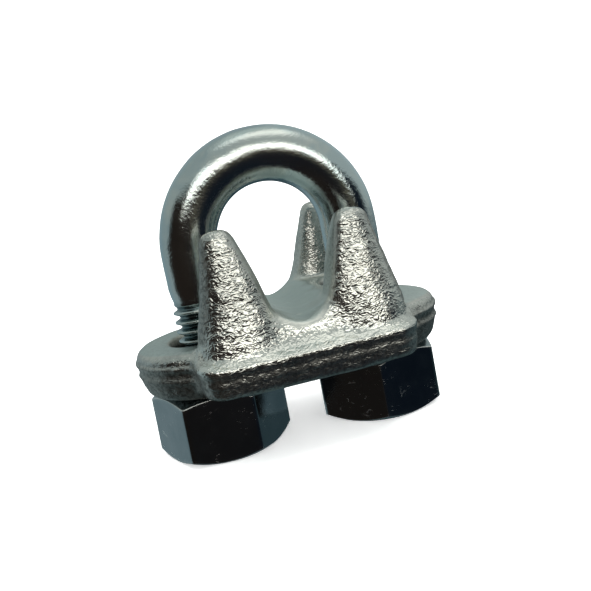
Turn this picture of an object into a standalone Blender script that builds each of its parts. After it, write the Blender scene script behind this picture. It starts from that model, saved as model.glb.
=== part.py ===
"""Wire rope clip: a forged saddle, a threaded U-bolt and two hex nuts, as four separate solids.

Metres, +Z up. X runs through both legs, Y along the rope. The origin is midway between the legs,
on the plane of the nuts' lower faces. The threads are right-handed and in mesh where they stand.
"""
import math

import bmesh
import bpy
from mathutils import Matrix, Vector

MM = 0.001
SHARP_EDGE = math.radians(32)
CUT_MARGIN = 1.0 * MM
CUT_LENGTH = 60 * MM
TURNED_SIDES = 32
WELD_DISTANCE = 0.001 * MM
HELIX_WELD_DISTANCE = 0.01 * MM

# U-bolt
LEG_SPACING = 31.6 * MM
ROD_RADIUS = 5.45 * MM
BOW_CENTRE_Z = 37.4 * MM
LEG_END_Z = 0.5 * MM
LEG_SIDES = 24
BOW_STEPS = 28

# Thread, 7/16 inch with 14 turns per inch, 60 degree form
PITCH = 25.4 * MM / 14
THREAD_CREST_RADIUS = 5.4 * MM
THREAD_DEPTH = 0.613 * PITCH
THREAD_CREST_FLAT = PITCH / 8
FLANK_SLOPE = math.tan(math.radians(30))
THREAD_TOP_Z = 28.2 * MM
THREAD_SEGMENTS = 16
RUN_OUT_LENGTH = 0.72 * MM
RUN_OUT_DEPTH = 0.6 * MM
NECK_LENGTH = 2.5 * MM
NECK_OVERLAP = 0.1 * MM
NECK_RADIUS = 4.9 * MM
NECK_TOP_RADIUS = 5.4 * MM
LEG_CHAMFER_DEPTH = 1.2 * MM
LEG_CHAMFER_LENGTH = 1.2 * MM
RADIAL_CLEARANCE = 0.3 * MM
FLANK_CLEARANCE = 0.15 * MM
GROOVE_OVERLAP = 0.25 * MM

# Nuts
NUT_ACROSS_FLATS = 22.2 * MM
NUT_HEIGHT = 12.2 * MM
NUT_FACE_RADIUS = 10.55 * MM
NUT_MINOR_RADIUS = 4.75 * MM
NUT_COUNTERSINK_RADIUS = 6.1 * MM
NUT_CHAMFER_SLOPE = math.tan(math.radians(30))
NUT_SIDES = 48
NUT_CORNER_ANGLES = {"nut_left": 54.0, "nut_right": 17.0}

# Saddle
CONTACT_GAP = 0.3 * MM
SADDLE_BASE_Z = NUT_HEIGHT + CONTACT_GAP
EAR_THICKNESS = 8.7 * MM
EAR_RADIUS = 14.4 * MM
EAR_HOLE_RADIUS = 6.4 * MM
BLOCK_HALF_WIDTH = 19.9 * MM
BLOCK_HALF_LENGTH = 20.5 * MM
BLOCK_CORNER_RADIUS = 4.5 * MM
EAR_FILLET_RADIUS = 2.5 * MM
EDGE_ROUNDING = 2.2 * MM
HORN_FOOT_X = (3.0 * MM, 19.4 * MM)
HORN_FOOT_Y = (6.8 * MM, 19.8 * MM)
HORN_FOOT_Z = 3.0 * MM
HORN_TIP_X = (8.4 * MM, 15.4 * MM)
HORN_TIP_Y = (10.3 * MM, 15.1 * MM)
HORN_TIP_Z = 28.6 * MM
HORN_ROUNDING = 2.0 * MM
SEAT_FOOT_X = (-11 * MM, 11 * MM)
SEAT_FOOT_Y = (-19.6 * MM, 19.6 * MM)
SEAT_FOOT_Z = 4 * MM
SEAT_TOP_X = (-8 * MM, 8 * MM)
SEAT_TOP_Y = (-17.2 * MM, 17.2 * MM)
SEAT_TOP_Z = 14 * MM
SEAT_ROUNDING = 1.5 * MM
ROPE_SEAT_RADIUS = 6.9 * MM
ROPE_SEAT_DEPTH_Z = 11.0 * MM


def clear_scene():
    for old in list(bpy.data.objects):
        bpy.data.objects.remove(old, do_unlink=True)


def new_collection(name):
    collection = bpy.data.collections.new(name)
    bpy.context.scene.collection.children.link(collection)
    return collection


def new_material(name, colour, roughness, metallic):
    material = bpy.data.materials.new(name)
    material.use_nodes = True
    shader = material.node_tree.nodes["Principled BSDF"]
    shader.inputs["Base Color"].default_value = (*colour, 1.0)
    shader.inputs["Roughness"].default_value = roughness
    shader.inputs["Metallic"].default_value = metallic
    material.diffuse_color = (*colour, 1.0)
    return material


def add_object(name, data, collection):
    new = bpy.data.objects.new(name, data)
    collection.objects.link(new)
    return new


def add_tool(name, data):
    """A guide solid that is joined to a part, cut from it or kept as its envelope."""
    tool = add_object(name, data, TOOLS)
    tool.hide_render = True
    tool.display_type = "WIRE"
    return tool


def evaluated_mesh(source):
    """The object's shape with its modifiers applied, as a welded mesh."""
    bpy.context.view_layer.update()
    graph = bpy.context.evaluated_depsgraph_get()
    mesh = bpy.data.meshes.new_from_object(source.evaluated_get(graph))
    solid = bmesh.new()
    solid.from_mesh(mesh)
    bmesh.ops.remove_doubles(solid, verts=solid.verts, dist=WELD_DISTANCE)
    bmesh.ops.recalc_face_normals(solid, faces=solid.faces)
    solid.to_mesh(mesh)
    solid.free()
    return mesh


def curve_to_tool(name, curve):
    """A curve object made into a mesh tool that stands where the curve stood."""
    drawn = add_object(name + "_curve", curve, TOOLS)
    tool = add_tool(name, evaluated_mesh(drawn))
    tool.matrix_world = drawn.matrix_world.copy()
    bpy.data.objects.remove(drawn, do_unlink=True)
    return tool


def boolean(target, tool, operation):
    modifier = target.modifiers.new(operation.lower() + "_" + tool.name, "BOOLEAN")
    modifier.operation = operation
    modifier.solver = "EXACT"
    modifier.object = tool


def finish(target, material):
    """Applies the modifiers and sets the shading and the material."""
    mesh = evaluated_mesh(target)
    mesh.shade_smooth()
    mesh.set_sharp_from_angle(angle=SHARP_EDGE)
    mesh.materials.clear()
    mesh.materials.append(material)
    target.modifiers.clear()
    target.data = mesh


def arc(centre_x, centre_y, radius, start, end, steps):
    """Points on a circle from one angle to another, in degrees, both ends included."""
    points = []
    for step in range(steps + 1):
        angle = math.radians(start + (end - start) * step / steps)
        points.append((centre_x + radius * math.cos(angle), centre_y + radius * math.sin(angle)))
    return points


def cylinder(name, radius, location, axis="Z"):
    """A round cutter, long enough to pass right through."""
    solid = bmesh.new()
    bmesh.ops.create_cone(
        solid, cap_ends=True, segments=TURNED_SIDES, radius1=radius, radius2=radius,
        depth=CUT_LENGTH,
    )
    mesh = bpy.data.meshes.new(name)
    solid.to_mesh(mesh)
    solid.free()
    tool = add_tool(name, mesh)
    tool.location = location
    if axis == "Y":
        tool.rotation_euler = (math.radians(90), 0, 0)
    return tool


def turned(name, profile, location, sides=TURNED_SIDES):
    """A solid of revolution: (radius, height) pairs down the outer side, ends on the axis."""
    mesh = bpy.data.meshes.new(name)
    edges = [(index, index + 1) for index in range(len(profile) - 1)]
    mesh.from_pydata([(radius, 0, height) for radius, height in profile], edges, [])
    tool = add_tool(name, mesh)
    screw = tool.modifiers.new("turn", "SCREW")
    screw.steps = sides
    screw.render_steps = sides
    screw.use_merge_vertices = True
    screw.merge_threshold = HELIX_WELD_DISTANCE
    tool.location = location
    return tool


def thread_stock(name, root_radius, crest_radius, root_gap, crest_flat, top, bottom, location):
    """A closed right-hand screw: one tooth's outline, swept up a helix and capped at both ends.

    The tooth nearest the origin has its middle at height 0 on the +X side, so that every thread
    made here is in phase with the others.
    """
    turns = math.ceil((top - bottom) / PITCH) + 2
    first = math.floor(bottom / PITCH) - 1
    base = first * PITCH
    outline = [
        (crest_radius, base + crest_flat / 2),
        (root_radius, base + (PITCH - root_gap) / 2),
        (root_radius, base + (PITCH + root_gap) / 2),
        (crest_radius, base + PITCH - crest_flat / 2),
        (crest_radius, base + PITCH + crest_flat / 2),
    ]
    outline.reverse()
    mesh = bpy.data.meshes.new(name)
    edges = [(index, index + 1) for index in range(len(outline) - 1)]
    mesh.from_pydata([(radius, 0, height) for radius, height in outline], edges, [])
    tool = add_tool(name, mesh)
    screw = tool.modifiers.new("thread", "SCREW")
    screw.steps = THREAD_SEGMENTS
    screw.render_steps = THREAD_SEGMENTS
    screw.iterations = turns
    screw.screw_offset = PITCH
    screw.use_merge_vertices = True
    screw.merge_threshold = HELIX_WELD_DISTANCE
    swept = evaluated_mesh(tool)
    tool.modifiers.clear()
    solid = bmesh.new()
    solid.from_mesh(swept)
    open_edges = [edge for edge in solid.edges if edge.is_boundary]
    caps = bmesh.ops.holes_fill(solid, edges=open_edges)["faces"]
    bmesh.ops.poke(solid, faces=caps)
    bmesh.ops.recalc_face_normals(solid, faces=solid.faces)
    solid.to_mesh(swept)
    solid.free()
    tool.data = swept
    tool.location = location
    return tool


def flange_outline():
    """Plan of the saddle: a block with rounded corners and a round ear on each side of it."""
    ear_x = LEG_SPACING / 2
    fillet_x = BLOCK_HALF_WIDTH + EAR_FILLET_RADIUS
    fillet_y = math.sqrt((EAR_RADIUS + EAR_FILLET_RADIUS) ** 2 - (fillet_x - ear_x) ** 2)
    meeting = math.degrees(math.atan2(fillet_y, fillet_x - ear_x))
    corner_x = BLOCK_HALF_WIDTH - BLOCK_CORNER_RADIUS
    corner_y = BLOCK_HALF_LENGTH - BLOCK_CORNER_RADIUS
    quarter = arc(ear_x, 0, EAR_RADIUS, 0, meeting, 6)
    quarter += arc(fillet_x, fillet_y, EAR_FILLET_RADIUS, 180 + meeting, 180, 2)
    quarter += arc(corner_x, corner_y, BLOCK_CORNER_RADIUS, 0, 90, 4)
    half = quarter + [(-x, y) for x, y in reversed(quarter)]
    lower = [(x, -y) for x, y in reversed(half[1:-1])]
    return half + lower


def flange_plate():
    curve = bpy.data.curves.new("flange", "CURVE")
    curve.dimensions = "2D"
    curve.fill_mode = "BOTH"
    curve.offset = -EDGE_ROUNDING
    curve.bevel_depth = EDGE_ROUNDING
    curve.bevel_resolution = 1
    curve.extrude = EAR_THICKNESS / 2 - EDGE_ROUNDING
    outline = flange_outline()
    spline = curve.splines.new("POLY")
    spline.points.add(len(outline) - 1)
    for point, (x, y) in zip(spline.points, outline):
        point.co = (x, y, 0, 1)
    spline.use_cyclic_u = True
    return curve_to_tool("flange", curve)


def tapered_block(name, foot, tip, rounding):
    """A block between two level rectangles, each given as (x range, y range, z), with round edges."""
    solid = bmesh.new()
    bmesh.ops.create_cube(solid, size=1.0)
    for corner in solid.verts:
        across, along, z = tip if corner.co.z > 0 else foot
        corner.co = Vector((across[corner.co.x > 0], along[corner.co.y > 0], z))
    bmesh.ops.recalc_face_normals(solid, faces=solid.faces)
    mesh = bpy.data.meshes.new(name)
    solid.to_mesh(mesh)
    solid.free()
    tool = add_tool(name, mesh)
    rounded = tool.modifiers.new("round_edges", "BEVEL")
    rounded.width = rounding
    rounded.segments = 3
    return tool


def horn(name, side_x, side_y):
    """One of the four upright horns that the rope lies between, drawn on the +X +Y corner."""
    foot = (HORN_FOOT_X, HORN_FOOT_Y, HORN_FOOT_Z)
    tip = (HORN_TIP_X, HORN_TIP_Y, HORN_TIP_Z)
    tool = tapered_block(name, foot, tip, HORN_ROUNDING)
    tool.data.transform(Matrix.Diagonal((side_x, side_y, 1, 1)))
    if side_x * side_y < 0:
        tool.data.flip_normals()
    return tool


def build_saddle(material):
    saddle = add_object("saddle", evaluated_mesh(flange_plate()), PARTS)
    saddle.data.transform(Matrix.Translation((0, 0, EAR_THICKNESS / 2)))
    seat_foot = (SEAT_FOOT_X, SEAT_FOOT_Y, SEAT_FOOT_Z)
    seat_top = (SEAT_TOP_X, SEAT_TOP_Y, SEAT_TOP_Z)
    boolean(saddle, tapered_block("seat_block", seat_foot, seat_top, SEAT_ROUNDING), "UNION")
    for side_x in (-1, 1):
        for side_y in (-1, 1):
            boolean(saddle, horn(f"horn_{side_x}_{side_y}", side_x, side_y), "UNION")
    seat_centre = (0, 0, ROPE_SEAT_DEPTH_Z + ROPE_SEAT_RADIUS)
    rope = cylinder("rope_seat", ROPE_SEAT_RADIUS, seat_centre, axis="Y")
    boolean(saddle, rope, "DIFFERENCE")
    for side in (-1, 1):
        hole_centre = (side * LEG_SPACING / 2, 0, EAR_THICKNESS / 2)
        hole = cylinder(f"ear_hole_{side}", EAR_HOLE_RADIUS, hole_centre)
        boolean(saddle, hole, "DIFFERENCE")
    finish(saddle, material)
    saddle.location = (0, 0, SADDLE_BASE_Z)


def bent_rod():
    """The plain round bar: two straight shanks and the half-round bow between them."""
    curve = bpy.data.curves.new("rod", "CURVE")
    curve.dimensions = "3D"
    curve.bevel_depth = ROD_RADIUS
    curve.bevel_resolution = LEG_SIDES // 2 - 2
    curve.use_fill_caps = True
    shank_end = THREAD_TOP_Z + NECK_LENGTH + NECK_OVERLAP
    path = [(LEG_SPACING / 2, shank_end)]
    path += arc(0, BOW_CENTRE_Z, LEG_SPACING / 2, 0, 180, BOW_STEPS)
    path += [(-LEG_SPACING / 2, shank_end)]
    spline = curve.splines.new("POLY")
    spline.points.add(len(path) - 1)
    for point, (x, z) in zip(spline.points, path):
        point.co = (x, 0, z, 1)
    return curve_to_tool("rod", curve)


def build_u_bolt(material):
    u_bolt = add_object("u_bolt", evaluated_mesh(bent_rod()), PARTS)
    root_radius = THREAD_CREST_RADIUS - THREAD_DEPTH
    root_gap = PITCH - THREAD_CREST_FLAT - 2 * THREAD_DEPTH * FLANK_SLOPE
    neck_top = THREAD_TOP_Z + NECK_LENGTH
    neck = [
        (0, neck_top + CUT_MARGIN),
        (NECK_TOP_RADIUS, neck_top + CUT_MARGIN),
        (NECK_TOP_RADIUS, neck_top),
        (NECK_RADIUS, THREAD_TOP_Z),
        (root_radius - NECK_OVERLAP, THREAD_TOP_Z - CUT_MARGIN),
        (0, THREAD_TOP_Z - CUT_MARGIN),
    ]
    outside = THREAD_CREST_RADIUS + CUT_MARGIN
    run_out = (CUT_MARGIN + RUN_OUT_DEPTH) * RUN_OUT_LENGTH / RUN_OUT_DEPTH
    chamfer = (CUT_MARGIN + LEG_CHAMFER_DEPTH) * LEG_CHAMFER_LENGTH / LEG_CHAMFER_DEPTH
    envelope = [
        (0, THREAD_TOP_Z),
        (THREAD_CREST_RADIUS - RUN_OUT_DEPTH, THREAD_TOP_Z),
        (outside, THREAD_TOP_Z - run_out),
        (outside, LEG_END_Z + chamfer),
        (THREAD_CREST_RADIUS - LEG_CHAMFER_DEPTH, LEG_END_Z),
        (0, LEG_END_Z),
    ]
    for side in (-1, 1):
        leg = (side * LEG_SPACING / 2, 0, 0)
        thread = thread_stock(
            f"leg_thread_{side}", root_radius, THREAD_CREST_RADIUS, root_gap, THREAD_CREST_FLAT,
            THREAD_TOP_Z, LEG_END_Z, leg,
        )
        boolean(thread, turned(f"leg_envelope_{side}", envelope, leg), "INTERSECT")
        boolean(u_bolt, turned(f"leg_neck_{side}", neck, leg, LEG_SIDES), "UNION")
        boolean(u_bolt, thread, "UNION")
    finish(u_bolt, material)


def build_nut(name, side, material):
    centre = Vector((side * LEG_SPACING / 2, 0, 0))
    hexagon = bmesh.new()
    corner_radius = NUT_ACROSS_FLATS / math.sqrt(3)
    turn = Matrix.Rotation(math.radians(NUT_CORNER_ANGLES[name] + 90), 4, "Z")
    bmesh.ops.create_cone(
        hexagon, cap_ends=True, segments=6, radius1=corner_radius, radius2=corner_radius,
        depth=NUT_HEIGHT, matrix=Matrix.Translation((0, 0, NUT_HEIGHT / 2)) @ turn,
    )
    mesh = bpy.data.meshes.new(name)
    hexagon.to_mesh(mesh)
    hexagon.free()
    nut = add_object(name, mesh, PARTS)
    nut.location = centre
    outside = corner_radius + CUT_MARGIN
    chamfer = (outside - NUT_FACE_RADIUS) * NUT_CHAMFER_SLOPE
    blank = [
        (0, NUT_HEIGHT),
        (NUT_FACE_RADIUS, NUT_HEIGHT),
        (outside, NUT_HEIGHT - chamfer),
        (outside, chamfer),
        (NUT_FACE_RADIUS, 0),
        (0, 0),
    ]
    countersink = NUT_COUNTERSINK_RADIUS - NUT_MINOR_RADIUS
    bore = [
        (0, NUT_HEIGHT + CUT_MARGIN),
        (NUT_COUNTERSINK_RADIUS + CUT_MARGIN, NUT_HEIGHT + CUT_MARGIN),
        (NUT_MINOR_RADIUS, NUT_HEIGHT - countersink),
        (NUT_MINOR_RADIUS, countersink),
        (NUT_COUNTERSINK_RADIUS + CUT_MARGIN, -CUT_MARGIN),
        (0, -CUT_MARGIN),
    ]
    groove_crest = THREAD_CREST_RADIUS + RADIAL_CLEARANCE
    groove_root = NUT_MINOR_RADIUS - GROOVE_OVERLAP
    crest_flat = THREAD_CREST_FLAT + 2 * (FLANK_CLEARANCE - RADIAL_CLEARANCE * FLANK_SLOPE)
    root_gap = PITCH - crest_flat - 2 * (groove_crest - groove_root) * FLANK_SLOPE
    thread = thread_stock(
        name + "_thread", groove_root, groove_crest, root_gap, crest_flat, NUT_HEIGHT, 0, centre
    )
    boolean(nut, turned(name + "_blank", blank, centre, NUT_SIDES), "INTERSECT")
    boolean(nut, turned(name + "_bore", bore, centre), "DIFFERENCE")
    boolean(nut, thread, "DIFFERENCE")
    finish(nut, material)


clear_scene()
PARTS = new_collection("wire_rope_clip")
TOOLS = new_collection("cutters")
GALVANISED = new_material("galvanised_forging", (0.62, 0.63, 0.61), 0.45, 0.9)
ZINC_ROD = new_material("zinc_plated_rod", (0.55, 0.60, 0.61), 0.25, 1.0)
ZINC_NUT = new_material("zinc_plated_nut", (0.50, 0.54, 0.57), 0.22, 1.0)
build_saddle(GALVANISED)
build_u_bolt(ZINC_ROD)
build_nut("nut_left", -1, ZINC_NUT)
build_nut("nut_right", 1, ZINC_NUT)
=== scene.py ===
import math

import bpy
import numpy as np
from mathutils import Matrix, Vector


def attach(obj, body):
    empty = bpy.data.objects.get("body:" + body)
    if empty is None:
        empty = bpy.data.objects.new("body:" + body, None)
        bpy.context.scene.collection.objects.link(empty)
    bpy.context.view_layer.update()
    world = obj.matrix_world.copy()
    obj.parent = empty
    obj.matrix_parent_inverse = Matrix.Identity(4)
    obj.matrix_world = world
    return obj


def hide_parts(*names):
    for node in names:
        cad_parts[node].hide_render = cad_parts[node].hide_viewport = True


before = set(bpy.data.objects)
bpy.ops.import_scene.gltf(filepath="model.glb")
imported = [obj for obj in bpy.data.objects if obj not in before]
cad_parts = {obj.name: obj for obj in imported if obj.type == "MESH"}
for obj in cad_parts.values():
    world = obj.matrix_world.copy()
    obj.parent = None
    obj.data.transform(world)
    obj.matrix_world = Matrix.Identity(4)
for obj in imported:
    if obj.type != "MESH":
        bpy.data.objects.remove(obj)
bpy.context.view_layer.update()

MM = 0.001

# The clip's own sizes, in millimetres, as in the CAD model
LEG_X = 15.8
ROD_RADIUS = 5.45
BOW_CENTRE_Z = 37.4
LEG_END_Z = 0.5
PITCH = 25.4 / 14
FLANK_SLOPE = math.tan(math.radians(30))
THREAD_CREST = 5.4
THREAD_DEPTH = 0.613 * PITCH
THREAD_CREST_FLAT = PITCH / 8
RADIAL_CLEARANCE = 0.3
FLANK_CLEARANCE = 0.15
NUT_APOTHEM = 11.1
NUT_HEIGHT = 12.2
NUT_FACE_RADIUS = 10.55
NUT_BORE = 4.75
NUT_COUNTERSINK = 6.1
NUT_CORNERS = {"nut_left": 54.0, "nut_right": 17.0}
SADDLE_Z = 12.5

# The saddle, in millimetres up from its underside
BLOCK_HALF_SIZE = (19.9, 20.4)
BLOCK_CORNER = 4.8
EAR_RADIUS = 14.35
EAR_HOLE = 6.4
FLANGE_TOP = 8.7
LEDGE_DROP = 1.5
SEAT_HALF_SIZE = (12.5, 17.6)
SEAT_TOP = 13.6
CORE_BOTTOM = 2.0
ROPE_RADIUS = 4.92
ROPE_SEAT_Z = 11.0
ROPE_FLARE = math.radians(17.5)
LAY_RIDGE = 0.26
LAY_LENGTH = 6.4
HORN_POWER = 2.15
HORN_ROUNDING = 2.1
HORN_TIP_REAR = 29.3
HORN_TIP_LEFT = 28.6
HORN_TIP_RIGHT = 27.9

# Profiles, as (height, value): how far the flange's walls are inset, and the sides of a horn
EAR_WALL = (
    (-1, 2.5), (0, 1.9), (1, 1.45), (2, 1.1), (3, 0.8), (3.6, 0.6), (4.0, 0.38), (4.4, 0.6), (5.0, 0.7),
    (5.6, 0.48), (6.3, 0.08), (6.8, 0.42), (7.2, 0.3), (7.8, 0.2),
)
END_WALL = (
    (-1, 1.6), (1, 1.2), (2, 0.92), (3, 0.7), (3.4, 0.54), (3.8, 0.46), (4.2, 0.53), (4.8, 0.45), (5.6, 0.2),
    (6.4, 0.0),
)
HORN_OUTER = (
    (0, 19.7), (7, 19.0), (11.5, 18.2), (14, 17.6), (17, 16.85), (21, 16.05), (26.5, 15.1), (30, 14.6),
)
HORN_INNER = ((0, 3.0), (14, 4.4), (19, 5.9), (27, 8.5), (30, 9.4))
HORN_NEAR = ((0, 6.6), (6, 7.0), (14, 8.2), (22, 9.5), (30, 10.8))
HORN_FAR = ((0, 19.6), (6, 19.2), (9, 18.8), (14, 17.8), (20, 16.5), (30, 14.3))
SHANK = ((27.2, 4.9), (28.3, 4.93), (29.6, 5.25), (31.0, 5.48), (35.0, 5.52), (40.0, 5.45))

# Spacing of the points on the saddle and along the threads, for a quick build and in full; the full spacing
# is used
SADDLE_STEP = (0.36, 0.335)
THREAD_STEP = (0.2, 0.125)
SADDLE_LOW = (-31.0, -21.4, -0.8)
SADDLE_HIGH = (31.0, 21.4, 30.6)
ROD_SIDES = 80
BOW_RINGS = 97

# The view of the clip
VIEW_AZIMUTH = math.radians(-10.26)
VIEW_ELEVATION = math.radians(4.77)
VIEW_ROLL = math.radians(-10.80)
VIEW_DISTANCE = 122.4 * MM
VIEW_TARGET = Vector((-1.98, 0, 36.52)) * MM
VIEW_LENS = 38.58
VIEW_SHIFT = (0.058, -0.092)

# The studio's floor, in metres
FLOOR_RADIUS = 0.55
WALL_CURVE = 0.35
WALL_TOP = 0.9
FLOOR_SIDES = 96

RANDOM = np.random.default_rng(7)
LATTICE = 48
NOISE_TABLE = RANDOM.uniform(-1, 1, (LATTICE, LATTICE, LATTICE))


# ---------------------------------------------------------------- shapes as distance fields

def smooth_min(a, b, reach):
    h = np.clip(0.5 + 0.5 * (b - a) / reach, 0, 1)
    return b + (a - b) * h - reach * h * (1 - h)


def smooth_max(a, b, reach):
    return -smooth_min(-a, -b, reach)


def smooth_step(low, high, value):
    t = np.clip((value - low) / (high - low), 0, 1)
    return t * t * (3 - 2 * t)


def along(profile, height):
    """The value of a profile at any heights, with straight lines between its points."""
    return np.interp(height, *zip(*profile))


def noise(x, y, z, wavelength):
    """Smooth noise from -1 to 1 at any points, repeating only after 48 wavelengths."""
    out = 0
    parts = []
    for axis in (x, y, z):
        cell = np.floor(axis / wavelength)
        t = axis / wavelength - cell
        parts.append((cell.astype(int), t * t * t * (t * (t * 6 - 15) + 10)))
    for corner in range(8):
        weight = 1
        index = []
        for bit, (cell, fade) in enumerate(parts):
            high = corner >> bit & 1
            weight = weight * (fade if high else 1 - fade)
            index.append((cell + high) % LATTICE)
        out = out + weight * NOISE_TABLE[tuple(index)]
    return out


def rounded_box(u, v, half_u, half_v, corner):
    across = np.abs(u) - half_u + corner
    along_v = np.abs(v) - half_v + corner
    outside = np.hypot(np.maximum(across, 0), np.maximum(along_v, 0))
    return outside + np.minimum(np.maximum(across, along_v), 0) - corner


def squarish_oval(u, v, half_u, half_v, power):
    """Below zero inside an oval with nearly straight sides, and close to a distance beside it."""
    size = (np.abs(u / half_u) ** power + np.abs(v / half_v) ** power) ** (1 / power)
    return (size - 1) * np.minimum(half_u, half_v)


def from_leg(x, y):
    """Distance from the axis of the nearer U-bolt leg."""
    return np.hypot(np.abs(x) - LEG_X, y)


def flange(x, y, z):
    """The block with its two ears: trimmed flash leaves ridges all the way round."""
    out = np.abs(y)
    block = rounded_box(x, y, *BLOCK_HALF_SIZE, BLOCK_CORNER)
    plan = smooth_min(block, from_leg(x, y) - EAR_RADIUS, 2.6)
    end = smooth_step(13, 17, out)
    inset = (1 - end) * along(EAR_WALL, z)
    inset = inset + end * along(END_WALL, z)
    wall = plan + inset
    top = FLANGE_TOP - LEDGE_DROP * smooth_step(14.5, 16.5, out) - 0.6 * smooth_step(17.5, 20.4, out)
    bottom = 0.9 * smooth_step(13.5, 16, out)
    return smooth_max(smooth_max(wall, z - top, 3.2 - 2.0 * end), bottom - z, 1.2)


def horns(x, y, z):
    """Four tapering horns: the right ones wider, the rear right one leaner, and all trimmed by hand."""
    right = x > 0
    outer = along(HORN_OUTER, z)
    outer = outer + np.where(right, 0.6, 0.0) * smooth_step(6, 11, z) * smooth_step(27, 18, z)
    lean = np.where(right & (y > 0), 1.2, 0.0)
    inner = along(HORN_INNER, z) + lean * smooth_step(10, 18, z)
    near = along(HORN_NEAR, z)
    far = along(HORN_FAR, z)
    plan = squarish_oval(
        np.abs(x) - (outer + inner) / 2, np.abs(y) - (near + far) / 2, (outer - inner) / 2,
        (far - near) / 2, HORN_POWER,
    )
    tip = np.where(y > 0, HORN_TIP_REAR, np.where(right, HORN_TIP_RIGHT, HORN_TIP_LEFT))
    return smooth_max(smooth_max(plan * 0.97, z - tip, HORN_ROUNDING), CORE_BOTTOM - z, 1.0)


def seat(x, y, z):
    """The block under the rope, with an apron that slopes down at each end."""
    block = rounded_box(x, y, *SEAT_HALF_SIZE, 2.0)
    apron = (np.abs(y) - 16.2 + (z - 11.6) * 0.72) * 0.81
    body = smooth_max(smooth_max(block, apron, 1.8), z - SEAT_TOP, 1.5)
    return smooth_max(body, CORE_BOTTOM - z, 1.0)


def channel(x, y, z):
    """The rope's round-bottomed groove: walls flare upwards, strands leave slanting ridges."""
    widening = 1.3 * (1 - smooth_step(5, 13, np.abs(y)))
    radius = ROPE_RADIUS + widening
    centre = ROPE_SEAT_Z + radius
    slant = (y + 0.75 * x) * 2 * math.pi / LAY_LENGTH
    lay = LAY_RIDGE * np.cos(slant) * smooth_step(16.5, 14, np.abs(y))
    wall = np.abs(x) * math.cos(ROPE_FLARE) - (z - centre) * math.sin(ROPE_FLARE)
    above = (z - centre) * math.cos(ROPE_FLARE) + np.abs(x) * math.sin(ROPE_FLARE) > 0
    return np.where(above, wall, np.hypot(x, z - centre)) - radius + lay


def saddle_field(x, y, z):
    body = smooth_min(flange(x, y, z), seat(x, y, z), 2.5)
    body = smooth_min(body, horns(x, y, z), 1.1)
    body = smooth_max(body, -channel(x, y, z), 1.6)
    hole = from_leg(x, y) - EAR_HOLE - 0.9 * smooth_step(6.2, 9, z)
    return smooth_max(body, -hole, 0.9 + 0.7 * smooth_step(5, 7, z))


def grain_amount(x, y, z, up):
    """How lumpy the galvanised skin is: most on the horns and the ends, least where it is worn."""
    height = smooth_step(4.5, 6.5, z)
    ends = smooth_step(5, 11, np.abs(y))
    trough = smooth_step(0.3, 1.7, channel(x, y, z))
    facing_up = smooth_step(0.75, 0.97, up)
    top = 1 - 0.75 * facing_up * smooth_step(20, 10, z) * smooth_step(16, 14, np.abs(y))
    least = 0.4 + 0.4 * smooth_step(8.4, 6.5, z)
    return (least + (1 - least) * height * ends) * (0.25 + 0.75 * trough) * top


def tone_with_painted_shade(x, y, z, outward):
    """How pale the metal is: 1 on top, less on the walls of the flange and lower down on the ears, on the
    low end walls, on the horns and their outward sides, 0 inside each ear hole. The darkening inside each
    ear hole and on the horns' outward sides is painted shade.
    """
    out = np.abs(y)
    ears = smooth_step(9.6, 8.9, z) * smooth_step(18.5, 16, out)
    low = smooth_step(8.5, 3.5, z)
    # Painted shade inside each ear hole.
    hole_shade = smooth_step(7.5, 6.8, from_leg(x, y))
    ends = smooth_step(6.4, 5.6, z) * smooth_step(15, 17, out)
    # Painted shade on the outward sides of the horns.
    flank_shade = smooth_step(0.55, 0.9, outward) * smooth_step(8.5, 11, z)
    tall = smooth_step(11, 16, z)
    dull_and_shaded = (0.15 + 0.45 * low) * ears + 0.5 * hole_shade + 0.27 * ends + 0.4 * flank_shade + 0.18 * tall
    return np.maximum(1 - dull_and_shaded, 0)


def surface_net(field, low, step):
    """Vertices and quads of the zero surface of a sampled field, negative inside."""
    shape = np.array(field.shape)
    total = np.zeros((*(shape - 1), 3))
    count = np.zeros(shape - 1)
    crossings = []
    for axis in range(3):
        first = [slice(None)] * 3
        second = [slice(None)] * 3
        first[axis] = slice(0, -1)
        second[axis] = slice(1, None)
        a, b = field[tuple(first)], field[tuple(second)]
        crossed = (a < 0) != (b < 0)
        crossings.append((crossed, a < 0))
        index = np.argwhere(crossed)
        place = index.astype(float)
        place[:, axis] += a[crossed] / (a[crossed] - b[crossed])
        others = [n for n in range(3) if n != axis]
        for du in (0, 1):
            for dv in (0, 1):
                cell = index.copy()
                cell[:, others[0]] -= du
                cell[:, others[1]] -= dv
                keep = np.all((cell >= 0) & (cell < shape - 1), axis=1)
                where = tuple(cell[keep].T)
                np.add.at(total, where, place[keep])
                np.add.at(count, where, 1)
    used = count > 0
    number = np.full(count.shape, -1)
    number[used] = np.arange(used.sum())
    points = low + step * total[used] / count[used][:, None]
    quads = []
    for axis in range(3):
        crossed, inside = crossings[axis]
        index = np.argwhere(crossed)
        u, v = (axis + 1) % 3, (axis + 2) % 3
        ring = []
        for du, dv in ((1, 1), (0, 1), (0, 0), (1, 0)):
            cell = index.copy()
            cell[:, u] -= du
            cell[:, v] -= dv
            ring.append(number[tuple(cell.T)])
        ring = np.stack(ring, axis=1)
        flip = ~inside[crossed]
        ring[flip] = ring[flip][:, ::-1]
        quads.append(ring)
    return points, np.concatenate(quads)


def gradient(function, points, reach=0.05):
    columns = []
    for axis in range(3):
        ahead, behind = points.copy(), points.copy()
        ahead[:, axis] += reach
        behind[:, axis] -= reach
        columns.append((function(*ahead.T) - function(*behind.T)) / (2 * reach))
    return np.stack(columns, axis=1)


# ---------------------------------------------------------------- pieces

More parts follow.
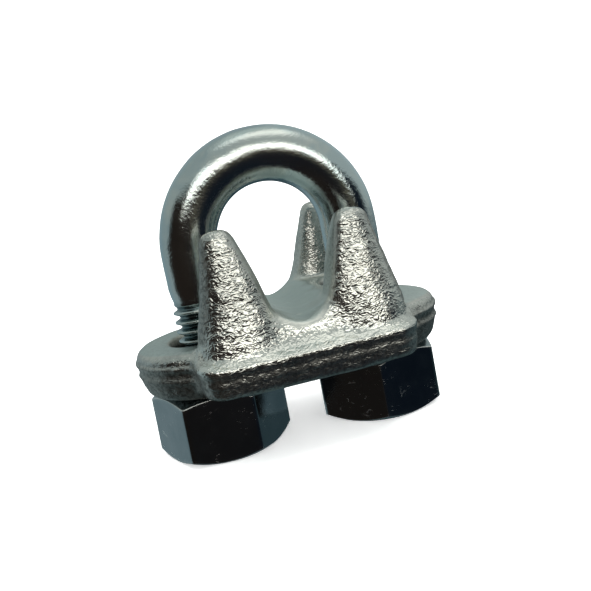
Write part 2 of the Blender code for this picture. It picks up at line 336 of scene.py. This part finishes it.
def make_piece(name, points, faces, material):
    """A smooth-shaded mesh object from points in millimetres."""
    mesh = bpy.data.meshes.new(name)
    mesh.from_pydata((np.asarray(points) * MM).tolist(), [], [tuple(face) for face in faces])
    mesh.update()
    mesh.shade_smooth()
    mesh.materials.append(material)
    piece = bpy.data.objects.new(name, mesh)
    bpy.context.scene.collection.objects.link(piece)
    return piece


def add_attribute(piece, name, values):
    attribute = piece.data.attributes.new(name, "FLOAT", "POINT")
    attribute.data.foreach_set("value", values.astype(np.float32))


def choose(quick_and_full):
    return quick_and_full[1]


def build_saddle(material):
    """The forging's surface, settled on the field and then roughened along its normals."""
    step = choose(SADDLE_STEP)
    axes = [np.arange(low, high, step) for low, high in zip(SADDLE_LOW, SADDLE_HIGH)]
    x, y, z = np.meshgrid(*axes, indexing="ij")
    points, quads = surface_net(saddle_field(x, y, z), np.array(SADDLE_LOW), step)
    for _ in range(2):
        slope = gradient(saddle_field, points)
        size = np.maximum((slope ** 2).sum(axis=1), 0.2)
        points -= slope * (saddle_field(*points.T) / size)[:, None]
    slope = gradient(saddle_field, points)
    normal = slope / np.linalg.norm(slope, axis=1)[:, None]
    px, py, pz = points.T
    grain = grain_amount(px, py, pz, normal[:, 2])
    # The tone carries painted shade inside each ear hole and on the horns' outward sides.
    tone = tone_with_painted_shade(px, py, pz, normal[:, 0] * np.sign(px))
    lumps = np.abs(noise(px, py, pz * 1.5, 1.55)) - 0.25
    lumps += 0.8 * noise(px + 9, py, pz * 1.4, 0.95)
    swell = 0.10 * noise(px, py + 5, pz, 7.0) + 0.05 * noise(px, py, pz + 5, 3.1)
    above_underside = smooth_step(-0.97, -0.7, normal[:, 2])
    relief = (0.065 * lumps * grain + swell) * (0.2 + 0.8 * above_underside)
    raised = points + normal * relief[:, None] + [0, 0, SADDLE_Z]
    piece = make_piece("saddle_forging", raised, quads, material)
    add_attribute(piece, "grain", grain)
    add_attribute(piece, "tone", tone)
    return piece


def grid_faces(rows, columns, close_rows):
    """Quads over a grid of points whose columns wrap round, and whose rows wrap if asked."""
    row, column = np.meshgrid(np.arange(rows), np.arange(columns), indexing="ij")
    index = row * columns + column
    right = np.roll(index, -1, axis=1)
    below = np.roll(index, -1, axis=0)
    below_right = np.roll(right, -1, axis=0)
    quads = np.stack([index, right, below_right, below], axis=-1)
    if not close_rows:
        quads = quads[:-1]
    return quads.reshape(-1, 4)


def circle(sides):
    return np.arange(sides) * 2 * math.pi / sides


def thread_radius(turn, z, crest, depth, crest_flat):
    """Radius of a rounded 60 degree thread at an angle (radians) and height."""
    place = z - PITCH * turn / (2 * math.pi)
    off = np.abs(place - PITCH * np.round(place / PITCH))
    t = np.clip((off - crest_flat / 2) / (depth * FLANK_SLOPE), 0, 1)
    soft = t * t * (3 - 2 * t)
    return crest - depth * (0.45 * t + 0.55 * soft)


def leg_radius(turn, z):
    """Radius of a U-bolt leg: thread with its end chamfer, run-out, necked shank, plain bar."""
    thread = thread_radius(turn, z, THREAD_CREST, THREAD_DEPTH, THREAD_CREST_FLAT)
    threaded = smooth_step(28.5, 26.2, z)
    radius = along(SHANK, z) * (1 - threaded) + thread * threaded
    chamfer = THREAD_CREST - 1.2 + np.maximum(z - LEG_END_Z, 0)
    return np.minimum(radius, chamfer)


def from_centre_line(points):
    """Unit directions and distances of points from the U-bolt's centre line."""
    px, _, pz = points.T
    nearest = np.stack([np.sign(px) * LEG_X, 0 * px, np.minimum(pz, BOW_CENTRE_Z)], axis=1)
    from_centre = points - [0, 0, BOW_CENTRE_Z]
    length = np.maximum(np.hypot(from_centre[:, 0], from_centre[:, 2]), 1e-6)
    on_bow = from_centre * [1, 0, 1] * (LEG_X / length)[:, None] + [0, 0, BOW_CENTRE_Z]
    high = pz > BOW_CENTRE_Z
    nearest[high] = on_bow[high]
    outward = points - nearest
    distance = np.linalg.norm(outward, axis=1)
    return outward / np.maximum(distance, 1e-6)[:, None], distance


def build_u_bolt(material):
    """One sweep up the right leg, over the bow and down the left leg."""
    heights = np.concatenate([
        np.arange(LEG_END_Z, 29.0, choose(THREAD_STEP)), np.arange(29.0, BOW_CENTRE_Z, 0.5), [BOW_CENTRE_Z],
    ])
    turn = circle(ROD_SIDES)

    def leg_ring(side, angle, z):
        radius = leg_radius(angle, z)
        across = side * (LEG_X + radius * np.cos(turn))
        return np.stack([across, radius * np.sin(turn), np.full(ROD_SIDES, z)], axis=1)

    leg_end = np.zeros((ROD_SIDES, 3)) + [LEG_X, 0, LEG_END_Z + 0.02]
    rings = [leg_end] + [leg_ring(1, turn, z) for z in heights]
    for bend in np.linspace(0, math.pi, BOW_RINGS)[1:-1]:
        outward = np.array([math.cos(bend), 0, math.sin(bend)])
        centre = outward * LEG_X + [0, 0, BOW_CENTRE_Z]
        offset = np.outer(np.cos(turn), outward) + np.outer(np.sin(turn), [0, 1, 0])
        rings.append(centre + ROD_RADIUS * offset)
    rings += [leg_ring(-1, math.pi - turn, z) for z in heights[::-1]]
    rings.append(leg_end * [-1, 1, 1])
    points = np.concatenate(rings)
    px, py, pz = points.T
    wave = 0.05 * noise(px, py, pz, 5.5) + 0.018 * noise(px, py, pz + 3, 2.2)
    outward, distance = from_centre_line(points)
    waved = points + outward * (wave * smooth_step(28.5, 31.5, pz))[:, None]
    faces = grid_faces(len(rings), ROD_SIDES, False)[:, ::-1]
    piece = make_piece("u_bolt_rod", waved, faces, material)
    # Mask of the thread valleys, darkened in the material by grime and by painted shade.
    add_attribute(piece, "valley", smooth_step(5.35, 4.6, distance) * smooth_step(29.5, 27.5, pz))
    return piece


def build_nut(name, side, material):
    """A hexagon nut with rounded corners, both faces chamfered, and a cut thread."""
    first_corner = math.radians(NUT_CORNERS[name])
    sixth = np.concatenate([
        np.linspace(0, 2.4, 6, endpoint=False), np.linspace(2.4, 57.6, 26, endpoint=False),
        np.linspace(57.6, 60, 6, endpoint=False),
    ])
    turn = np.radians(np.concatenate([sixth + 60 * n for n in range(6)])) + first_corner
    from_flat = np.abs((np.degrees(turn - first_corner) % 60) - 30)
    flat = NUT_APOTHEM / np.cos(np.radians(from_flat))
    corner_radius = NUT_APOTHEM / math.cos(math.radians(30))
    outer = smooth_min(flat, np.full_like(flat, corner_radius - 0.12), 0.22)
    chamfer = (outer - NUT_FACE_RADIUS) * FLANK_SLOPE
    rings = []

    def ring(radius, z):
        radius = np.broadcast_to(radius, turn.shape)
        z = np.broadcast_to(z, turn.shape)
        rings.append(np.stack([radius * np.cos(turn), radius * np.sin(turn), z], axis=1))

    edge_steps = (0, 0.12, 0.35, 0.65, 0.88, 1)
    face_radii = (10.4, 8.5, 6.3, 6.15)
    for t in edge_steps:
        ring(NUT_FACE_RADIUS + (outer - NUT_FACE_RADIUS) * t, chamfer * t)
    ring(outer, chamfer + 0.12)
    for t in (0.1, 0.3, 0.5, 0.7, 0.9):
        ring(outer, chamfer + (NUT_HEIGHT - 2 * chamfer) * t)
    ring(outer, NUT_HEIGHT - chamfer - 0.12)
    for t in edge_steps[::-1]:
        ring(NUT_FACE_RADIUS + (outer - NUT_FACE_RADIUS) * t, NUT_HEIGHT - chamfer * t)
    for radius in face_radii:
        ring(radius, NUT_HEIGHT)
    crest = THREAD_CREST + RADIAL_CLEARANCE
    crest_flat = THREAD_CREST_FLAT + 2 * (FLANK_CLEARANCE - RADIAL_CLEARANCE * FLANK_SLOPE)
    for z in np.arange(NUT_HEIGHT, -0.001, -0.2):
        countersink = max(NUT_COUNTERSINK - min(z, NUT_HEIGHT - z), NUT_BORE)
        groove = thread_radius(turn, z, crest, crest - NUT_BORE, crest_flat)
        ring(np.maximum(groove, countersink), z)
    for radius in face_radii[::-1]:
        ring(radius, 0.0)
    points = np.concatenate(rings) + [side * LEG_X, 0, 0]
    return make_piece(name + "_hexagon", points, grid_faces(len(rings), len(turn), True), material)


# ---------------------------------------------------------------- materials

class Graph:
    """Short calls for building a node tree."""

    def __init__(self, tree):
        self.tree = tree

    def add(self, kind, inputs=None, **settings):
        node = self.tree.nodes.new("ShaderNode" + kind)
        for key, value in settings.items():
            setattr(node, key, value)
        for key, value in (inputs or {}).items():
            self.put(node.inputs[key], value)
        return node

    def put(self, socket, value):
        if isinstance(value, bpy.types.NodeSocket):
            self.tree.links.new(value, socket)
        else:
            socket.default_value = value

    def math(self, operation, *values, clamp=False):
        node = self.add("Math", operation=operation, use_clamp=clamp)
        for socket, value in zip(node.inputs, values):
            self.put(socket, value)
        return node.outputs[0]

    def multiply(self, first, *others):
        for other in others:
            first = self.math("MULTIPLY", first, other)
        return first

    def ramp(self, value, low, high, out_low=0.0, out_high=1.0):
        node = self.add("MapRange", {"Value": value, "From Min": low, "From Max": high,
                                     "To Min": out_low, "To Max": out_high})
        node.interpolation_type = "SMOOTHSTEP"
        return node.outputs["Result"]

    def band(self, value, low, full_from, full_to, high):
        """1 between two values, fading to 0 on either side."""
        return self.multiply(self.ramp(value, low, full_from), self.ramp(value, high, full_to))

    def mix(self, factor, a, b):
        node = self.add("Mix", data_type="RGBA")
        self.put(node.inputs["Factor"], factor)
        self.put(node.inputs[6], a)
        self.put(node.inputs[7], b)
        return node.outputs[2]

    def noise(self, vector, scale, detail=2.0, roughness=0.5, distortion=0.0):
        node = self.add("TexNoise", {"Vector": vector, "Scale": scale, "Detail": detail,
                                     "Roughness": roughness, "Distortion": distortion})
        return node.outputs["Fac"]

    def bump(self, height, distance, normal=None):
        node = self.add("Bump", {"Height": height, "Distance": distance, "Strength": 1.0})
        if normal is not None:
            self.put(node.inputs["Normal"], normal)
        return node.outputs["Normal"]

    def taller(self, vector, z_scale):
        node = self.add("Mapping", {"Vector": vector})
        node.inputs["Scale"].default_value = (1.0, 1.0, z_scale)
        return node.outputs["Vector"]

    def attribute(self, name):
        return self.add("Attribute", attribute_name=name).outputs["Fac"]


def new_material(name, metallic):
    material = bpy.data.materials.new(name)
    material.use_nodes = True
    material.node_tree.nodes.clear()
    graph = Graph(material.node_tree)
    shader = graph.add("BsdfPrincipled", {"Metallic": metallic})
    output = graph.add("OutputMaterial")
    graph.tree.links.new(shader.outputs[0], output.inputs[0])
    place = graph.add("TexCoord").outputs["Object"]
    return material, graph, shader, place


def rgb(r, g, b):
    return (r, g, b, 1.0)


def galvanised_material():
    """Hot-dip zinc: wrinkled where it is thick, darker and speckled on the walls of the flange, with painted
    shade inside each ear hole and on the horns' outward sides.
    """
    material, graph, shader, place = new_material("galvanised_forging", 1.0)
    grain = graph.attribute("grain")
    tone = graph.attribute("tone")
    wrinkles = graph.noise(graph.taller(place, 1.6), 960, 1.0, 0.5, distortion=0.4)
    fine = graph.noise(place, 2600, 2.0, 0.5)
    dust = graph.noise(place, 1500, 2.0, 0.6)
    cloud = graph.noise(place, 150, 3.0, 0.6)
    broad = graph.noise(place, 60, 2.0, 0.5)

    height = graph.math("ABSOLUTE", graph.math("SUBTRACT", wrinkles, 0.5))
    height = graph.multiply(height, graph.math("MULTIPLY_ADD", grain, 1.6, 0.15))
    normal = graph.bump(height, 0.155 * MM)
    fine = graph.multiply(fine, graph.math("MULTIPLY_ADD", grain, -1.3, 1.7))
    graph.put(shader.inputs["Normal"], graph.bump(fine, 0.035 * MM, normal))

    clean = graph.mix(graph.ramp(cloud, 0.35, 0.65), rgb(0.66, 0.66, 0.62), rgb(0.86, 0.85, 0.79))
    clean = graph.mix(graph.ramp(broad, 0.4, 0.7, 0.0, 0.45), clean, rgb(0.66, 0.67, 0.64))
    # Low tone darkens the base colour towards near black: painted shade inside each ear hole and on the
    # horns' outward sides, plainly darker metal on the other walls.
    dull_and_shaded = graph.mix(graph.ramp(tone, 0.0, 0.5), rgb(0.10, 0.11, 0.105), rgb(0.44, 0.43, 0.40))
    colour = graph.mix(graph.ramp(tone, 0.5, 1.0), dull_and_shaded, clean)
    colour = graph.mix(graph.ramp(grain, 0.45, 0.15, 0.0, 0.8), colour, rgb(0.60, 0.68, 0.66))
    specks = graph.multiply(graph.ramp(dust, 0.46, 0.60), graph.ramp(tone, 0.95, 0.6, 0.0, 0.6))
    colour = graph.mix(specks, colour, rgb(0.14, 0.14, 0.13))
    edge = graph.ramp(graph.add("NewGeometry").outputs["Pointiness"], 0.51, 0.56, 0.0, 0.5)
    rubbed = graph.multiply(edge, graph.ramp(tone, 0.35, 1.0))
    graph.put(shader.inputs["Base Color"], graph.mix(rubbed, colour, rgb(0.9, 0.9, 0.86)))

    rough = graph.math("MULTIPLY_ADD", grain, -0.22, 0.45)
    duller = graph.multiply(graph.math("SUBTRACT", 0.81, tone, clamp=True), 0.9)
    rough = graph.math("ADD", rough, graph.math("MINIMUM", duller, 0.15))
    rough = graph.math("MULTIPLY_ADD", graph.math("SUBTRACT", cloud, 0.5), 0.15, rough)
    graph.put(shader.inputs["Roughness"], rough)
    return material


def zinc_rod_material():
    """Bright zinc plate on a bar: slightly uneven, with a painted bluish reflection at the rims, grimy with
    painted shade between the threads.
    """
    material, graph, shader, place = new_material("zinc_plated_rod", 1.0)
    mottle = graph.noise(place, 420, 3.0, 0.6)
    fine = graph.noise(place, 1900, 3.0, 0.65)
    broad = graph.noise(place, 95, 3.0, 0.6, distortion=0.6)
    normal = graph.bump(mottle, 0.06 * MM)
    graph.put(shader.inputs["Normal"], graph.bump(fine, 0.045 * MM, normal))

    colour = graph.mix(graph.ramp(broad, 0.35, 0.62), rgb(0.54, 0.62, 0.63), rgb(0.66, 0.69, 0.66))
    # Painted bluish reflection at the rims, set by the viewing angle.
    rim_reflection = graph.add("LayerWeight", {"Blend": 0.5}).outputs["Facing"]
    colour = graph.mix(graph.ramp(rim_reflection, 0.35, 0.85), colour, rgb(0.50, 0.63, 0.68))
    # Grime together with painted shade darkens the thread valleys.
    grime_and_shade = graph.multiply(graph.attribute("valley"), graph.ramp(mottle, 0.2, 0.6, 0.7, 1.0))
    graph.put(shader.inputs["Base Color"], graph.mix(grime_and_shade, colour, rgb(0.13, 0.19, 0.20)))
    graph.put(shader.inputs["Roughness"], graph.ramp(broad, 0.3, 0.75, 0.08, 0.15))
    return material


def zinc_nut_material():
    """Bright zinc plate on flat faces: worn pale at the corners, with small scuffs."""
    material, graph, shader, place = new_material("zinc_plated_nut", 1.0)
    mottle = graph.noise(place, 330, 3.0, 0.6)
    fine = graph.noise(place, 2200, 2.0, 0.6)
    broad = graph.noise(place, 110, 3.0, 0.6)
    normal = graph.bump(mottle, 0.03 * MM)
    graph.put(shader.inputs["Normal"], graph.bump(fine, 0.008 * MM, normal))

    colour = graph.mix(graph.ramp(broad, 0.35, 0.65), rgb(0.29, 0.345, 0.365), rgb(0.355, 0.40, 0.42))
    edge = graph.ramp(graph.add("NewGeometry").outputs["Pointiness"], 0.505, 0.545)
    scuff = graph.noise(graph.taller(place, 1.8), 480, 4.0, 0.65, distortion=1.2)
    scuff = graph.multiply(graph.ramp(scuff, 0.60, 0.68), graph.ramp(broad, 0.48, 0.6))
    marks = graph.math("MAXIMUM", edge, scuff)
    graph.put(shader.inputs["Base Color"], graph.mix(marks, colour, rgb(0.80, 0.80, 0.78)))
    rough = graph.ramp(mottle, 0.3, 0.7, 0.10, 0.18)
    graph.put(shader.inputs["Roughness"], graph.math("MULTIPLY_ADD", marks, 0.28, rough))
    return material


def paper_material():
    material, graph, shader, place = new_material("studio_paper", 0.0)
    tone = graph.noise(place, 9, 2.0, 0.5)
    graph.put(shader.inputs["Base Color"], graph.mix(tone, rgb(0.90, 0.90, 0.90), rgb(0.92, 0.92, 0.92)))
    shader.inputs["Roughness"].default_value = 1.0
    shader.inputs["Emission Color"].default_value = rgb(1, 1, 1)
    shader.inputs["Emission Strength"].default_value = 0.45
    return material


# ---------------------------------------------------------------- studio

def build_stage():
    """A round floor that curves up into a wall on every side."""
    profile = [(0.0, 0.0), (0.2, 0.0), (0.4, 0.0), (FLOOR_RADIUS, 0.0)]
    curve_steps = 16
    for step in range(1, curve_steps + 1):
        angle = math.radians(90 * step / curve_steps)
        out, up = math.sin(angle), 1 - math.cos(angle)
        profile.append((FLOOR_RADIUS + WALL_CURVE * out, WALL_CURVE * up))
    profile += [(FLOOR_RADIUS + WALL_CURVE, 0.6), (FLOOR_RADIUS + WALL_CURVE, WALL_TOP)]
    turn = circle(FLOOR_SIDES)
    rings = [
        np.stack([radius * np.cos(turn), radius * np.sin(turn), np.full(FLOOR_SIDES, z)], axis=1)
        for radius, z in profile
    ]
    points = np.concatenate(rings) / MM
    faces = grid_faces(len(rings), FLOOR_SIDES, False)
    floor = make_piece("studio_floor", points, faces, paper_material())
    floor.visible_glossy = False
    floor.visible_shadow = False


def camera_axes():
    """The camera's right, up and backward directions."""
    back = Vector((
        math.sin(VIEW_AZIMUTH) * math.cos(VIEW_ELEVATION),
        -math.cos(VIEW_AZIMUTH) * math.cos(VIEW_ELEVATION),
        math.sin(VIEW_ELEVATION),
    ))
    level_right = Vector((0, 0, 1)).cross(back).normalized()
    level_up = back.cross(level_right)
    right = level_right * math.cos(VIEW_ROLL) + level_up * math.sin(VIEW_ROLL)
    up = level_up * math.cos(VIEW_ROLL) - level_right * math.sin(VIEW_ROLL)
    return right, up, back


def build_world():
    """A room level with the camera: a bright window in front, dark round it, pale walls and ceiling.

    A direction from the clip is a height in degrees, and a turn to the right in degrees from the way
    that faces the camera.
    """
    world = bpy.data.worlds.new("studio")
    bpy.context.scene.world = world
    world.use_nodes = True
    world.node_tree.nodes.clear()
    graph = Graph(world.node_tree)
    direction = graph.add("TexCoord").outputs["Generated"]
    side, rise, toward = [
        graph.add("VectorMath", {0: direction, 1: tuple(axis)}, operation="DOT_PRODUCT").outputs["Value"]
        for axis in camera_axes()
    ]
    degrees = 180 / math.pi
    height = graph.multiply(graph.math("ARCSINE", rise), degrees)
    turned = graph.multiply(graph.math("ARCTAN2", side, toward), degrees)

    left = graph.band(turned, -178, -150, -85, -55)
    low_wall = graph.mix(left, rgb(0.050, 0.080, 0.090), rgb(0.27, 0.345, 0.365))
    low_wall = graph.mix(graph.ramp(height, -34, -58), low_wall, rgb(0.065, 0.110, 0.120))
    high_wall = graph.mix(graph.ramp(turned, -80, 60), rgb(0.34, 0.395, 0.39), rgb(0.44, 0.49, 0.48))
    room = graph.mix(graph.ramp(height, -4, 20), low_wall, high_wall)

    near_side = graph.ramp(graph.math("ABSOLUTE", turned), 120, 80)
    floor = graph.mix(near_side, rgb(0.07, 0.095, 0.10), rgb(0.09, 0.105, 0.10))
    room = graph.mix(graph.ramp(height, -62, -80), room, floor)
    from_lamp = graph.math("ABSOLUTE", graph.math("SUBTRACT", turned, 35.0))
    ceiling = graph.mix(graph.ramp(from_lamp, 125, 70), rgb(0.52, 0.60, 0.58), rgb(1.20, 1.24, 1.18))
    room = graph.mix(graph.ramp(height, 57, 72), room, ceiling)

    dark = graph.mix(graph.ramp(turned, -20, 60), rgb(0.018, 0.014, 0.012), rgb(0.008, 0.012, 0.019))
    glow = graph.multiply(graph.band(turned, 2, 18, 36, 50), graph.ramp(height, -10, 6))
    dark = graph.mix(glow, dark, rgb(0.125, 0.115, 0.085))
    wider_below = graph.math("ADD", turned, graph.ramp(height, -2, -16, 0.0, 18.0))
    in_front = graph.multiply(
        graph.ramp(wider_below, -80, -62), graph.ramp(turned, 98, 70), graph.band(height, -76, -62, 19, 27),
    )
    room = graph.mix(in_front, room, dark)

    window = graph.multiply(graph.band(turned, -31, -24, 40, 50), graph.band(height, 8, 13, 27, 35))
    lit = graph.mix(window, room, rgb(2.2, 2.22, 2.08))
    background = graph.add("Background", {"Color": lit, "Strength": 1.0})
    output = graph.add("OutputWorld")
    graph.tree.links.new(background.outputs[0], output.inputs[0])


def add_softbox(name, place, aim, size, power):
    light = bpy.data.lights.new(name, "AREA")
    light.shape = "RECTANGLE"
    light.size, light.size_y = size
    light.energy = power
    holder = bpy.data.objects.new(name, light)
    bpy.context.scene.collection.objects.link(holder)
    holder.location = place
    holder.rotation_euler = (Vector(aim) - Vector(place)).to_track_quat("-Z", "Y").to_euler()
    holder.visible_glossy = False


def build_camera():
    """The camera, level with the bow and leaning to one side."""
    right, up, back = camera_axes()
    data = bpy.data.cameras.new("camera")
    data.lens = VIEW_LENS
    data.sensor_width = 36.0
    data.shift_x, data.shift_y = VIEW_SHIFT
    data.clip_start = 0.01
    data.clip_end = 10.0
    camera = bpy.data.objects.new("camera", data)
    bpy.context.scene.collection.objects.link(camera)
    axes = Matrix((right, up, back)).transposed()
    camera.matrix_world = Matrix.Translation(VIEW_TARGET + back * VIEW_DISTANCE) @ axes.to_4x4()
    bpy.context.scene.camera = camera


galvanised = galvanised_material()
zinc_rod = zinc_rod_material()
zinc_nut = zinc_nut_material()

saddle = build_saddle(galvanised)
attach(saddle, "saddle")
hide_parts("saddle")

u_bolt = build_u_bolt(zinc_rod)
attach(u_bolt, "u_bolt")
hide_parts("u_bolt")

for nut_name, nut_side in (("nut_left", -1), ("nut_right", 1)):
    nut = build_nut(nut_name, nut_side, zinc_nut)
    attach(nut, nut_name)
    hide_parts(nut_name)

build_stage()
build_world()
add_softbox("top_softbox", (0.0, 0.05, 0.6), (0, 0, 0), (0.7, 0.7), 4.0)
build_camera()
bpy.context.scene.view_settings.view_transform = "Standard"
